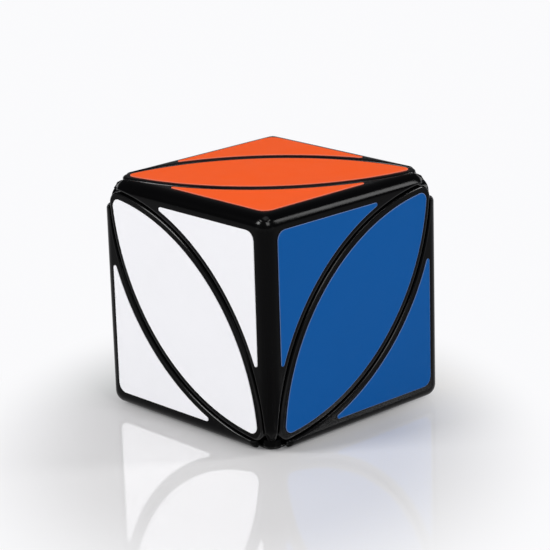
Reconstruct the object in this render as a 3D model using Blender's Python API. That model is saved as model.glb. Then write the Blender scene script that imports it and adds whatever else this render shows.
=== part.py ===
"""Corner-turning puzzle cube with leaf-shaped faces.

Four corners turn about four body diagonals of the cube. Six leaf-shaped petals, one on each face,
ride with whichever corner turns. Each corner is a moulded shell on a turned spindle, held to the
core by a screw, a washer and a spring. Each petal has a foot that is trapped between the dishes
of the spindles below it and the shells above it.

Metres, +Z up. The origin is the middle of the face that the cube stands on.
"""

import math

import bmesh
import bpy
from mathutils import Matrix, Vector

# Driving dimension: the pieces are drawn in shares of it, while clearances and vinyl keep their size
CUBE = 0.055                # edge of the black body, face to face
MM = CUBE / 55              # a millimetre on a cube of 55 mm

# Outside
EDGE_RADIUS = 3.0 * MM      # rounding of the cube's twelve edges
CUT_INSET = 1.0 * MM        # centre of each cut, in from the three faces beside its corner
ARM = 2.45 * MM             # width of a corner's arms on a face, to the middle of the cut
CUT_GAP = 0.0005            # running gap between a corner and a petal
ARM_SHORT = 4.0 * MM        # by how much a corner's three arms stop short of its own cut
FRONT_SHORT = 0.3 * MM      # the same on the corner that faces the viewer, which has longer arms
LEAF_TIP = 2.8 * MM         # rounding of a petal's two tips, seen along the face's normal

# Stickers
STICKER = 0.00018           # thickness of the vinyl
GLUE = 0.00002              # glue line under it
STICKER_LAND = 0.6 * MM     # flat plastic between the edge's rounding and a corner sticker
STICKER_RIM = 1.72 * MM     # from the middle of a cut to a sticker
TIP_ROUND = 1.8 * MM        # rounding of a petal sticker's two tips
HEEL_ROUND = 2.2 * MM       # rounding of a corner sticker at the cube's corner
HORN_ROUND = 0.7 * MM       # rounding of a corner sticker's two horns

# Nested spherical layers of the mechanism, from the shells inwards
PETAL_WALL = 4.1 * MM       # thickness of a petal's shell in its middle
FOOT = 2.8 * MM             # thickness of a petal's foot
DISH = 2.1 * MM             # thickness of a spindle's dish
DISH_SPACE = 4.7 * MM       # space between the rims of two dishes
RUNNING = 0.0003            # clearance between one layer and the next

# Petal foot, an ellipse seen along the face's normal, and the plug that joins it to its shell
FOOT_ROOM = 1.05 * MM       # clearance between the end of a foot and the spindle's stalk
FOOT_SLIM = 0.53            # a foot's width as a share of its length
PLUG_LONG = 7.5 * MM        # half-length of the plug
PLUG_SHORT = 4.5 * MM       # half-width of the plug
SOCKET_FIT = 0.0002         # clearance of a plug or barrel in its socket
SKIN = 1.8 * MM             # wall left outside a plug's socket

# Core, spindle, screw, washer and spring, turned about a corner's diagonal
CORE_RADIUS = 10.0 * MM     # ball in the middle
POST_RADIUS = 4.2 * MM      # post that carries one spindle
POST_GAP = 0.00035          # clearance between a post's rim and the dish on it
SHANK_RADIUS = 1.3 * MM     # screw
SHANK_START = 6.2 * MM      # inner end of the screw, from the cube's centre
SHANK_FIT = 0.0003          # clearance of the screw in its holes
HEAD_RADIUS = 2.6 * MM
HEAD_HEIGHT = 1.6 * MM
HEAD_DEEP = 0.4 * MM        # screw head below the end of the barrel
DRIVE_RADIUS = 1.1 * MM     # hexagon socket in the head, across its corners
DRIVE_DEPTH = 0.9 * MM
WASHER_RADIUS = 2.9 * MM
WASHER = 0.6 * MM           # thickness of the washer
SPRING_RADIUS = 2.3 * MM    # middle of the wire
SPRING_WIRE = 0.3 * MM      # radius of the wire
SPRING_PITCH = 1.05 * MM    # least rise of one turn
CHAMBER_FIT = 0.0005        # clearance of the washer in its chamber
BARREL_WALL = 1.4 * MM      # wall of the barrel round the chamber, and the floor under the spring
STALK_WALL = 2.2 * MM       # wall of the spindle's stalk round the screw
CORNER_WALL = 2.75 * MM     # least wall of a corner's shell round the end of the barrel
SEAT = 0.00015              # clearance between seated pieces of the screw stack

# Counts of facets
ROUND = 42                  # around a cut
RINGS = 21                  # from pole to pole of a cut
TURNED = 16                 # around a turned piece
BALL = 20                   # around a layer of the mechanism
LEAF_STEPS = 13             # along one side of a leaf

# What follows from them
HALF = CUBE / 2
CENTRE = Vector((0, 0, HALF + GLUE + STICKER))
CUT_RADIUS = CUBE - CUT_INSET - ARM
CUT_BALL = math.hypot(CUT_RADIUS, CUT_INSET)
CLEAR = CUT_GAP / 2
STICKER_EDGE = EDGE_RADIUS + STICKER_LAND
SHELL_INNER = HALF - PETAL_WALL
FOOT_OUTER = SHELL_INNER - RUNNING
FOOT_INNER = FOOT_OUTER - FOOT
DISH_OUTER = FOOT_INNER - RUNNING
DISH_INNER = DISH_OUTER - DISH
CORNER_ANGLE = math.acos(1 / math.sqrt(3))      # between a face's normal and a corner's diagonal
DISH_ANGLE = CORNER_ANGLE - math.asin(DISH_SPACE / 2 / DISH_OUTER)
POST_END = math.sqrt(DISH_INNER**2 - POST_RADIUS**2) - POST_GAP
BORE_RADIUS = SHANK_RADIUS + SHANK_FIT
CHAMBER_RADIUS = WASHER_RADIUS + CHAMBER_FIT
BARREL_RADIUS = CHAMBER_RADIUS + BARREL_WALL
STALK_RADIUS = BORE_RADIUS + STALK_WALL
SOCKET_RADIUS = BARREL_RADIUS + SOCKET_FIT
SOCKET_END = math.sqrt(3) * (HALF - CORNER_WALL) - math.sqrt(2) * SOCKET_RADIUS
BARREL_END = SOCKET_END - SOCKET_FIT
SHOULDER = SHELL_INNER + FOOT / 2
BARREL_START = SHOULDER + BARREL_RADIUS - STALK_RADIUS
CHAMBER_FLOOR = BARREL_START + BARREL_WALL
UNDER_HEAD = BARREL_END - HEAD_DEEP - HEAD_HEIGHT
WASHER_TOP = UNDER_HEAD - SEAT
SPRING_TOP = WASHER_TOP - WASHER - SEAT
FOOT_ANGLE = CORNER_ANGLE - math.asin((STALK_RADIUS + FOOT_ROOM) / FOOT_INNER)

# The four corners that turn, by the signs of their coordinates, and the turn that brings the first there
CORNERS = {
    "corner_top_front": Vector((1, -1, 1)),
    "corner_top_back": Vector((-1, 1, 1)),
    "corner_bottom_right": Vector((1, 1, -1)),
    "corner_bottom_left": Vector((-1, -1, -1)),
}
FIRST = CORNERS["corner_top_front"]
HALF_TURNS = {
    "corner_top_front": Matrix.Identity(3),
    "corner_top_back": Matrix.Rotation(math.pi, 3, "Z"),
    "corner_bottom_right": Matrix.Rotation(math.pi, 3, "X"),
    "corner_bottom_left": Matrix.Rotation(math.pi, 3, "Y"),
}
# The six petals, by the face each lies on, with the turn that brings the top one there
Z_TO_X = Matrix(((0, 0, 1), (1, 0, 0), (0, 1, 0)))
Z_TO_Y = Matrix(((0, 1, 0), (0, 0, 1), (1, 0, 0)))
PETALS = {
    "petal_top": Matrix.Identity(3),
    "petal_bottom": HALF_TURNS["corner_bottom_right"],
    "petal_right": Z_TO_X,
    "petal_left": HALF_TURNS["corner_top_back"] @ Z_TO_X,
    "petal_back": Z_TO_Y,
    "petal_front": HALF_TURNS["corner_top_back"] @ Z_TO_Y,
}
# Colour of each face, as linear red, green and blue
FACE_COLOURS = {
    "top": (0.90, 0.115, 0.018),
    "bottom": (0.55, 0.010, 0.012),
    "right": (0.006, 0.090, 0.330),
    "left": (0.010, 0.270, 0.060),
    "front": (0.86, 0.86, 0.90),
    "back": (0.85, 0.62, 0.010),
}
FACE_NORMALS = {
    "top": Vector((0, 0, 1)),
    "bottom": Vector((0, 0, -1)),
    "right": Vector((1, 0, 0)),
    "left": Vector((-1, 0, 0)),
    "front": Vector((0, -1, 0)),
    "back": Vector((0, 1, 0)),
}


def clear_scene():
    for obj in list(bpy.data.objects):
        bpy.data.objects.remove(obj, do_unlink=True)


def material(name, colour, roughness, metallic=0.0):
    made = bpy.data.materials.new(name)
    made.use_nodes = True
    shader = made.node_tree.nodes["Principled BSDF"]
    shader.inputs["Base Color"].default_value = (*colour, 1.0)
    shader.inputs["Roughness"].default_value = roughness
    shader.inputs["Metallic"].default_value = metallic
    return made


def link(name, mesh):
    obj = bpy.data.objects.new(name, mesh)
    bpy.context.scene.collection.objects.link(obj)
    return obj


def from_bmesh(name, bm):
    bmesh.ops.recalc_face_normals(bm, faces=bm.faces)
    mesh = bpy.data.meshes.new(name)
    bm.to_mesh(mesh)
    bm.free()
    return link(name, mesh)


def along(direction):
    """The turn that carries +Z to a direction."""
    return direction.to_track_quat("Z", "Y").to_matrix()


def ball(name, centre, radius, axis, around=BALL, rings=BALL // 2):
    """A ball whose rings lie round an axis, so that its facets turn with it."""
    bm = bmesh.new()
    bmesh.ops.create_uvsphere(bm, u_segments=around, v_segments=rings, radius=radius)
    bmesh.ops.transform(bm, matrix=Matrix.Translation(centre) @ along(axis).to_4x4(), verts=bm.verts)
    return from_bmesh(name, bm)


def turned(name, profile, axis, sides=TURNED):
    """A closed profile of (radius, distance along the axis), spun about an axis through the centre."""
    bm = bmesh.new()
    ring = [bm.verts.new((radius, 0, height)) for radius, height in profile]
    edges = [bm.edges.new((a, b)) for a, b in zip(ring, ring[1:] + ring[:1])]
    bmesh.ops.spin(
        bm, geom=ring + edges, cent=(0, 0, 0), axis=(0, 0, 1),
        angle=2 * math.pi, steps=sides, use_merge=True, use_duplicate=False,
    )
    bmesh.ops.remove_doubles(bm, verts=bm.verts, dist=1e-7)
    bmesh.ops.transform(bm, matrix=along(axis).to_4x4(), verts=bm.verts)
    return from_bmesh(name, bm)


def cylinder(name, radius, start, end, axis, sides=TURNED):
    """A plain round bar along an axis through the centre."""
    bm = bmesh.new()
    bmesh.ops.create_cone(
        bm, cap_ends=True, segments=sides, radius1=radius, radius2=radius, depth=end - start,
        matrix=Matrix.Translation((0, 0, (start + end) / 2)),
    )
    bmesh.ops.transform(bm, matrix=along(axis).to_4x4(), verts=bm.verts)
    return from_bmesh(name, bm)


def elliptic_bar(name, long_half, short_half, low, high, narrow=1.0):
    """A bar of elliptic section along +Z, long towards the corners that carry the top petal."""
    bm = bmesh.new()
    bmesh.ops.create_cone(
        bm, cap_ends=True, segments=TURNED, radius1=narrow, radius2=1, depth=high - low,
        matrix=Matrix.Translation((0, 0, (low + high) / 2)),
    )
    stretch = Matrix.Diagonal((long_half, short_half, 1, 1))
    diagonal = Matrix.Rotation(-math.pi / 4, 4, "Z")
    bmesh.ops.transform(bm, matrix=diagonal @ stretch, verts=bm.verts)
    return from_bmesh(name, bm)


def combine(obj, *steps, solver="EXACT"):
    """Runs a list of (operation, cutter) as Booleans, bakes the result and removes the cutters."""
    for operation, cutter in steps:
        modifier = obj.modifiers.new(operation, "BOOLEAN")
        modifier.operation = operation
        modifier.solver = solver
        modifier.object = cutter
        cutter.hide_render = True
        cutter.display_type = "WIRE"
    evaluated = obj.evaluated_get(bpy.context.evaluated_depsgraph_get())
    mesh = bpy.data.meshes.new_from_object(evaluated)
    mesh.name = obj.name
    for _, cutter in steps:
        bpy.data.objects.remove(cutter, do_unlink=True)
    bpy.data.objects.remove(obj, do_unlink=True)
    return mesh


def smooth(mesh):
    mesh.shade_smooth()
    mesh.set_sharp_from_angle(angle=math.radians(35))
    return mesh


def rounded_cube(name):
    """The whole cube with rounded edges, the blank that every shell is cut from."""
    bm = bmesh.new()
    bmesh.ops.create_cube(bm, size=CUBE)
    bmesh.ops.bevel(
        bm, geom=bm.edges[:], offset=EDGE_RADIUS, segments=4, profile=0.5, affect="EDGES",
    )
    return from_bmesh(name, bm)


def cut(corner, clearance):
    """The round cut about one corner's diagonal, grown or shrunk by a clearance."""
    return ball("cut", corner * (HALF - CUT_INSET), CUT_BALL + clearance, corner, ROUND, RINGS)


def layer(radius, axis):
    """A ball whose corners lie on a layer's radius, so that it stays inside the layer."""
    return ball("layer", Vector(), radius, axis)


def hollow(radius, axis):
    """A ball whose facets touch a layer's radius, so that nothing is left inside the layer."""
    return layer(radius / math.cos(math.pi / BALL) ** 2, axis)


def corner_shell_mesh(arm_short):
    """The cube's corner that is left outside the other three corners' cuts, hollowed for its spindle.

    The MANIFOLD solver cuts this, the petal's shell and its foot: EXACT leaves open edges in them.
    """
    others = [corner for corner in CORNERS.values() if corner != FIRST]
    steps = [("DIFFERENCE", cut(corner, CLEAR)) for corner in others]
    steps.append(("INTERSECT", cut(FIRST, -CLEAR - arm_short)))
    steps.append(("DIFFERENCE", hollow(SHELL_INNER, FIRST)))
    steps.append(("DIFFERENCE", cylinder("socket", SOCKET_RADIUS, FOOT_INNER, SOCKET_END, FIRST)))
    return smooth(combine(rounded_cube("corner_shell"), *steps, solver="MANIFOLD"))


def petal_shell_mesh():
    """The leaf on the top face, inside the cuts of both its corners and outside the other two."""
    top = [corner for corner in CORNERS.values() if corner.z > 0]
    low = [corner for corner in CORNERS.values() if corner.z < 0]
    steps = [("INTERSECT", cut(corner, -CLEAR)) for corner in top]
    steps += [("DIFFERENCE", cut(corner, CLEAR)) for corner in low]
    steps.append(("INTERSECT", leaf("leaf", CUT_RADIUS, LEAF_TIP, 0, CUBE)))
    steps.append(("DIFFERENCE", hollow(SHELL_INNER, Vector((0, 0, 1)))))
    socket = elliptic_bar(
        "socket", PLUG_LONG + SOCKET_FIT, PLUG_SHORT + SOCKET_FIT, FOOT_INNER, HALF - SKIN,
    )
    steps.append(("DIFFERENCE", socket))
    return smooth(combine(rounded_cube("petal_shell"), *steps, solver="MANIFOLD"))


def petal_foot_mesh():
    """A curved plate that slides under the corner shells, with the plug that holds the leaf."""
    up = Vector((0, 0, 1))
    low = FOOT_INNER / 2
    length = HALF * math.tan(FOOT_ANGLE)
    wedge = elliptic_bar("petal_foot", length, FOOT_SLIM * length, low, HALF, narrow=low / HALF)
    plug = elliptic_bar("plug", PLUG_LONG, PLUG_SHORT, low, HALF - SKIN - SOCKET_FIT)
    steps = [
        ("INTERSECT", layer(FOOT_OUTER, up)),
        ("UNION", plug),
        ("DIFFERENCE", hollow(FOOT_INNER, up)),
    ]
    return smooth(combine(wedge, *steps, solver="MANIFOLD"))


def spindle_mesh():
    """Dish, stalk and barrel in one turned piece, bored for the screw and its spring."""
    steps = 3
    angles = [DISH_ANGLE * step / steps for step in range(steps + 1)]
    start = math.asin(BORE_RADIUS / DISH_INNER)
    under = [(DISH_INNER * math.sin(a), DISH_INNER * math.cos(a)) for a in angles if a > start]
    neck = math.asin(STALK_RADIUS / DISH_OUTER)
    over = [(DISH_OUTER * math.sin(a), DISH_OUTER * math.cos(a)) for a in reversed(angles) if a > neck]
    profile = [
        (BORE_RADIUS, DISH_INNER * math.cos(start)),
        *under,
        *over,
        (STALK_RADIUS, DISH_OUTER * math.cos(neck)),
        (STALK_RADIUS, SHOULDER),
        (BARREL_RADIUS, BARREL_START),
        (BARREL_RADIUS, BARREL_END),
        (CHAMBER_RADIUS, BARREL_END),
        (CHAMBER_RADIUS, CHAMBER_FLOOR),
        (BORE_RADIUS, CHAMBER_FLOOR),
    ]
    obj = turned("spindle", profile, FIRST)
    return smooth(combine(obj))


def core_mesh():
    """A ball with four hollow posts, one along each corner's diagonal."""
    core = ball("core", Vector(), CORE_RADIUS, Vector((0, 0, 1)), TURNED, TURNED // 2)
    posts = [cylinder("post", POST_RADIUS, 0, POST_END, corner) for corner in CORNERS.values()]
    holes = [
        cylinder("hole", BORE_RADIUS, SHANK_START - SEAT, CUBE, corner) for corner in CORNERS.values()
    ]
    steps = [("UNION", post) for post in posts] + [("DIFFERENCE", hole) for hole in holes]
    return smooth(combine(core, *steps))


def screw_mesh():
    """A pan-head screw with a hexagon socket."""
    crown = UNDER_HEAD + HEAD_HEIGHT
    profile = [
        (0, SHANK_START), (SHANK_RADIUS * 0.6, SHANK_START), (SHANK_RADIUS, SHANK_START + SHANK_RADIUS),
        (SHANK_RADIUS, UNDER_HEAD), (HEAD_RADIUS, UNDER_HEAD), (HEAD_RADIUS, crown - HEAD_HEIGHT / 3),
        (HEAD_RADIUS - HEAD_HEIGHT / 3, crown), (0, crown),
    ]
    drive = cylinder("drive", DRIVE_RADIUS, crown - DRIVE_DEPTH, crown + DRIVE_DEPTH, FIRST, sides=6)
    return smooth(combine(turned("screw", profile, FIRST, sides=12), ("DIFFERENCE", drive)))


def washer_mesh():
    """A flat ring on the screw, between its head and the spring."""
    low, top = WASHER_TOP - WASHER, WASHER_TOP
    profile = [(BORE_RADIUS, low), (WASHER_RADIUS, low), (WASHER_RADIUS, top), (BORE_RADIUS, top)]
    return smooth(combine(turned("washer", profile, FIRST, sides=12)))


def spring_mesh():
    """A coil of round wire, as one tube along a helix."""
    points_per_turn = 9
    low = CHAMBER_FLOOR + SEAT + SPRING_WIRE
    rise = SPRING_TOP - SPRING_WIRE - low
    turns = math.floor(rise / SPRING_PITCH)
    count = turns * points_per_turn
    curve = bpy.data.curves.new("spring", "CURVE")
    curve.dimensions = "3D"
    curve.bevel_depth = SPRING_WIRE
    curve.bevel_resolution = 0
    curve.use_fill_caps = True
    spline = curve.splines.new("POLY")
    spline.points.add(count)
    for step, point in enumerate(spline.points):
        angle = 2 * math.pi * step / points_per_turn
        spot = Vector((
            SPRING_RADIUS * math.cos(angle), SPRING_RADIUS * math.sin(angle), low + rise * step / count,
        ))
        point.co = (*(along(FIRST) @ spot), 1)
    gap = rise / turns - 2 * SPRING_WIRE
    print("spring: least gap between its turns", round(1000 * gap, 3), "mm")
    return smooth(combine(link("spring", curve)))


def arc(centre, radius, start, end, steps):
    """Points along an arc in the plane of a face, from one angle to another."""
    return [
        Vector((
            centre.x + radius * math.cos(start + (end - start) * step / steps),
            centre.y + radius * math.sin(start + (end - start) * step / steps),
        ))
        for step in range(steps + 1)
    ]


def plate(name, outline, sharp, low, high):
    """A flat outline seen along +Z, given its thickness, with its sharp corners rounded."""
    bm = bmesh.new()
    face = bm.faces.new([bm.verts.new((point.x, point.y, low)) for point in outline])
    grown = bmesh.ops.extrude_face_region(bm, geom=[face])
    lifted = [item for item in grown["geom"] if isinstance(item, bmesh.types.BMVert)]
    bmesh.ops.translate(bm, verts=lifted, vec=(0, 0, high - low))
    bm.normal_update()
    for corner, radius in sharp:
        upright = [
            edge for edge in bm.edges
            if all((Vector(vert.co[:2]) - corner).length < 1e-6 for vert in edge.verts)
        ]
        bmesh.ops.bevel(
            bm, geom=upright, offset=radius, segments=4, profile=0.5, affect="EDGES", clamp_overlap=False,
        )
    return from_bmesh(name, bm)


def leaf(name, radius, tip, low, high):
    """A leaf between two arcs that are drawn about the two corners of the top face that turn."""
    reach = HALF - CUT_INSET
    front = Vector((reach, -reach))
    back = Vector((-reach, reach))
    spread = math.acos(math.sqrt(2) * reach / radius)
    towards_back = math.radians(135)
    towards_front = math.radians(-45)
    first = arc(front, radius, towards_back - spread, towards_back + spread, LEAF_STEPS)
    second = arc(back, radius, towards_front - spread, towards_front + spread, LEAF_STEPS)
    outline = first[:-1] + second[:-1]
    return plate(name, outline, [(first[0], tip), (first[-1], tip)], low, high)


def petal_sticker_mesh():
    low = HALF + GLUE
    return combine(leaf("petal_sticker", CUT_RADIUS - STICKER_RIM, TIP_ROUND, low, low + STICKER))


def corner_sticker_mesh():
    """On the top face: two straight sides along the cube's edges and a hollow arc along the cut."""
    radius = CUT_RADIUS + STICKER_RIM
    reach = HALF - CUT_INSET
    back = Vector((-reach, reach))
    side = HALF - STICKER_EDGE
    lean = math.acos((side + reach) / radius)
    inside = arc(back, radius, -math.pi / 2 + lean, -lean, LEAF_STEPS)
    heel = Vector((side, -side))
    outline = [heel] + inside[::-1]
    sharp = [(heel, HEEL_ROUND), (inside[0], HORN_ROUND), (inside[-1], HORN_ROUND)]
    low = HALF + GLUE
    return combine(plate("corner_sticker", outline, sharp, low, low + STICKER))


def place(name, mesh, turn, finish, centre):
    """One copy of a piece, with its origin at the cube's centre, where every joint axis passes."""
    obj = link(name, mesh)
    obj.parent = centre
    obj.matrix_local = turn.to_4x4()
    if not mesh.materials:
        mesh.materials.append(finish)
    obj.material_slots[0].link = "OBJECT"
    obj.material_slots[0].material = finish
    return obj


def face_of(direction):
    return max(FACE_NORMALS, key=lambda face: FACE_NORMALS[face].dot(direction))


def build():
    clear_scene()
    black = material("black_plastic", (0.006, 0.006, 0.007), 0.22)
    inner = material("inner_plastic", (0.012, 0.012, 0.013), 0.40)
    white = material("core_plastic", (0.72, 0.72, 0.70), 0.45)
    steel = material("zinc_steel", (0.62, 0.61, 0.58), 0.30, 1.0)
    vinyl = {face: material(f"vinyl_{face}", rgb, 0.45) for face, rgb in FACE_COLOURS.items()}

    centre = bpy.data.objects.new("cube_centre", None)
    centre.location = CENTRE
    bpy.context.scene.collection.objects.link(centre)

    place("core", core_mesh(), Matrix.Identity(3), white, centre)

    long_arms, short_arms = corner_shell_mesh(FRONT_SHORT), corner_shell_mesh(ARM_SHORT)
    turned_pieces = {
        "spindle": (spindle_mesh(), inner),
        "screw": (screw_mesh(), steel),
        "washer": (washer_mesh(), steel),
        "spring": (spring_mesh(), steel),
    }
    sticker = corner_sticker_mesh()
    third = [Matrix.Rotation(2 * math.pi * n / 3, 3, FIRST) for n in range(3)]
    for name, turn in HALF_TURNS.items():
        shell = long_arms if name == "corner_top_front" else short_arms
        place(f"{name}_shell", shell, turn, black, centre)
        for piece, (mesh, finish) in turned_pieces.items():
            place(f"{name}_{piece}", mesh, turn, finish, centre)
        for step in third:
            face = face_of(turn @ step @ Vector((0, 0, 1)))
            place(f"{name}_sticker_{face}", sticker, turn @ step, vinyl[face], centre)

    shell, foot, face_sticker = petal_shell_mesh(), petal_foot_mesh(), petal_sticker_mesh()
    for name, turn in PETALS.items():
        face = face_of(turn @ Vector((0, 0, 1)))
        place(f"{name}_shell", shell, turn, black, centre)
        place(f"{name}_foot", foot, turn, inner, centre)
        place(f"{name}_sticker", face_sticker, turn, vinyl[face], centre)


build()
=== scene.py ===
"""Leaf-faced puzzle cube: fine surfaces, finishes and a studio round the CAD frame.

Run as a script. The CAD model gives the places and the bodies. Every shell and sticker is replaced
by a smooth surface worked out from the same cuts: balls about the four corners that turn.
"""

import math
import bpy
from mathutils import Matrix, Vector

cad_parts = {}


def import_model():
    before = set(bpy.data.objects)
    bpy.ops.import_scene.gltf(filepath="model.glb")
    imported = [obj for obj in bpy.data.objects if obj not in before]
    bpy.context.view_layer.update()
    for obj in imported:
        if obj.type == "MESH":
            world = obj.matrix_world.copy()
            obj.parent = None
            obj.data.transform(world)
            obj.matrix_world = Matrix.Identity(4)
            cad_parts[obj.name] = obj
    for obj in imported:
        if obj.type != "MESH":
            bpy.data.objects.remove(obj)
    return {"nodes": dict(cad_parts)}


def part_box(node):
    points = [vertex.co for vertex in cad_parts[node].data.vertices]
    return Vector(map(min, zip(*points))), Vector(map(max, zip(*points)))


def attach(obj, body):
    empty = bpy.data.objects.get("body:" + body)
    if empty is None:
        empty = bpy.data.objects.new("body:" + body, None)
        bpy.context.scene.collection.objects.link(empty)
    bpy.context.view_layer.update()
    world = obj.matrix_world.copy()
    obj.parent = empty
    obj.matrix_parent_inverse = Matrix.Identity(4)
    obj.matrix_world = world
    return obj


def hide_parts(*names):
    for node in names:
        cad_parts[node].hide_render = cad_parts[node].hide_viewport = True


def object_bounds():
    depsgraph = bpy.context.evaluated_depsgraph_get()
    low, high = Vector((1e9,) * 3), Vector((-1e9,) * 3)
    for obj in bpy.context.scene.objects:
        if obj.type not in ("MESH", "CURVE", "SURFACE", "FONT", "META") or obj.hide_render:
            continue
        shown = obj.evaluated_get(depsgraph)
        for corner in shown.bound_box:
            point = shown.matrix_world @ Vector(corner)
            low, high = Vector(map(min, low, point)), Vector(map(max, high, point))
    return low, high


bl_info = {
    "name": "Leaf Cube Studio",
    "version": (1, 0, 0),
    "blender": (4, 5, 0),
    "location": "View3D > Sidebar > Leaf Cube",
    "description": "Shells, stickers, finishes and a studio for a corner-turning puzzle cube",
    "category": "Object",
}

from itertools import permutations

import bmesh
import bpy
import numpy as np
from bpy.props import FloatProperty, FloatVectorProperty, IntProperty, PointerProperty
from mathutils import Matrix, Vector

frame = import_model()
CAD_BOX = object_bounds()

# The four corners that turn, by the signs of their coordinates from the cube's centre
CORNERS = {
    "corner_top_front": (1, -1, 1),
    "corner_top_back": (-1, 1, 1),
    "corner_bottom_right": (1, 1, -1),
    "corner_bottom_left": (-1, -1, -1),
}
# The corner whose arms run nearly to the next vertices and end in a flare, here called a hoof
LONG_ARMED = "corner_top_front"
# The six faces, by their outward normals
FACES = {
    "top": (0, 0, 1),
    "bottom": (0, 0, -1),
    "right": (1, 0, 0),
    "left": (-1, 0, 0),
    "back": (0, 1, 0),
    "front": (0, -1, 0),
}
# Orders of the coordinates that bring a grid on the face +w to a face across X, Y or Z
FACE_ORDERS = ([2, 0, 1], [1, 2, 0], [0, 1, 2])
# Turns that bring the top petal to each face
TOP_TO_RIGHT = np.array([[0, 0, 1], [1, 0, 0], [0, 1, 0]])
TOP_TO_BACK = np.array([[0, 1, 0], [0, 0, 1], [1, 0, 0]])
HALF_TURN_X = np.diag([1, -1, -1])
HALF_TURN_Z = np.diag([-1, -1, 1])
PETAL_TURNS = {
    "top": np.eye(3),
    "bottom": HALF_TURN_X,
    "right": TOP_TO_RIGHT,
    "left": HALF_TURN_Z @ TOP_TO_RIGHT,
    "back": TOP_TO_BACK,
    "front": HALF_TURN_Z @ TOP_TO_BACK,
}

# Places that the frame gives
CENTRE = np.array([(low + high) / 2 for low, high in zip(*CAD_BOX)])
HALF = float(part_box("petal_top_shell")[1][2] - CENTRE[2])
STICKER_LOW = float(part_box("petal_top_sticker")[0][2] - CENTRE[2])
STICKER_HIGH = float(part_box("petal_top_sticker")[1][2] - CENTRE[2])

# A millimetre, how near points are welded, and the angle from which an edge is shaded sharp
MM = 0.001
WELD = 2e-6
SHARP_ANGLE = math.radians(38)

# Rows of the grids
ROUND_ROWS = 9
CORNER_FACE_ROWS = 22
CORNER_WALL_ROWS = 11
CORNER_INNER_ROWS = 6
PETAL_TOP_ROWS = 8
PETAL_WALL_ROWS = 6
PETAL_UNDER_ROWS = 11
STICKER_TOP_ROWS = 6
STICKER_UNDER_ROWS = 3

# Power that crowds the rows of a corner's face towards the cube's edge
FACE_CROWDING = 1.6
# How far round the petal's tip a hoof reaches
HOOF_SWEEP = math.radians(36)
# The part of a petal's tip that passes nearest to a hoof, and the points taken on it
TIP_STRETCH = (-math.pi / 8, math.pi / 2)
TIP_POINTS = 60
# Most that an arm's end is drawn in, as a share of its section
NOSE_LIMIT = 0.6
# Polish at a vertex: full within two thirds of the edge's rounding, and none past all of it
VERTEX_POLISH = 3
# A petal's wall leans in as it goes down, so where it ends is found in a few rounds
UNDER_ROUNDS = 6
# A sticker's soft rim, as a share of its thickness, and where its flat top starts, in widths of the painted
# highlight band along its cut edge
STICKER_SOFT = 0.25
STICKER_FLAT = 1.3
# The inner line of that painted highlight band and the flat top's start where a sticker's horn is narrow,
# as shares of its width
HORN_CUT_HIGHLIGHT = 1 / 5
HORN_FLAT = 1 / 4

# Attribute that marks polished rims on shells, and on stickers the cut-edge rows that get a painted
# highlight
RIM_MARK = "rim_mark"
# Painted highlight on a sticker's cut edge: its colour, moved by this share towards this pale grey
CUT_EDGE_HIGHLIGHT_SHARE = 0.15
CUT_EDGE_HIGHLIGHT_GREY = 0.8
# Height of the fine grain of every finish
GRAIN_HEIGHT = 0.02 * MM

# The photograph's side in pixels, and the camera's sensor and nearest distance
PHOTO_SIDE = 550
SENSOR_MM = 36.0
NEAR_CLIP = 0.01
# Studio floor: half its depth, the radius of the cove at its back, half its width, and grid rows
FLOOR_REACH = 1.8
COVE_RADIUS = 0.35
FLOOR_SIDE = 3.0
FLOOR_ROWS = 12
COVE_ROWS = 24
FLOOR_COLUMNS = 8
# Lamps: place from the cube's centre, width and height, all in metres, and power in watts
LAMPS = {
    "soft_top": ((0.0, 0.10, 0.90), (0.5, 0.5), 0.9),
    "soft_left": ((-0.34, -0.72, 0.52), (0.3, 0.3), 5.9),
    "soft_right": ((0.78, -0.15, 0.52), (0.4, 0.4), 3.5),
    "strip_left": ((-0.20, -0.52, 0.75), (0.3, 0.04), 0.8),
    "strip_right": ((0.50, 0.14, 0.77), (0.3, 0.04), 0.8),
    "strip_back": ((0.55, 0.62, 0.40), (0.16, 0.34), 3.3),
}


def length(label, about, default):
    """A property that holds a length in metres."""
    return FloatProperty(name=label, description=about, default=default, unit="LENGTH", precision=5)


def angle_of(label, about, default):
    """A property that holds an angle in radians."""
    return FloatProperty(name=label, description=about, default=default, subtype="ANGLE")


def pixels(label, about, default):
    """A property that holds a distance in pixels of the photograph."""
    return FloatProperty(name=label, description=about, default=default, subtype="PIXEL")


def colour(label, about, default):
    """A property that holds a linear colour."""
    return FloatVectorProperty(
        name=label, description=about, default=default, size=3, min=0, max=1, subtype="COLOR",
    )


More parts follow.
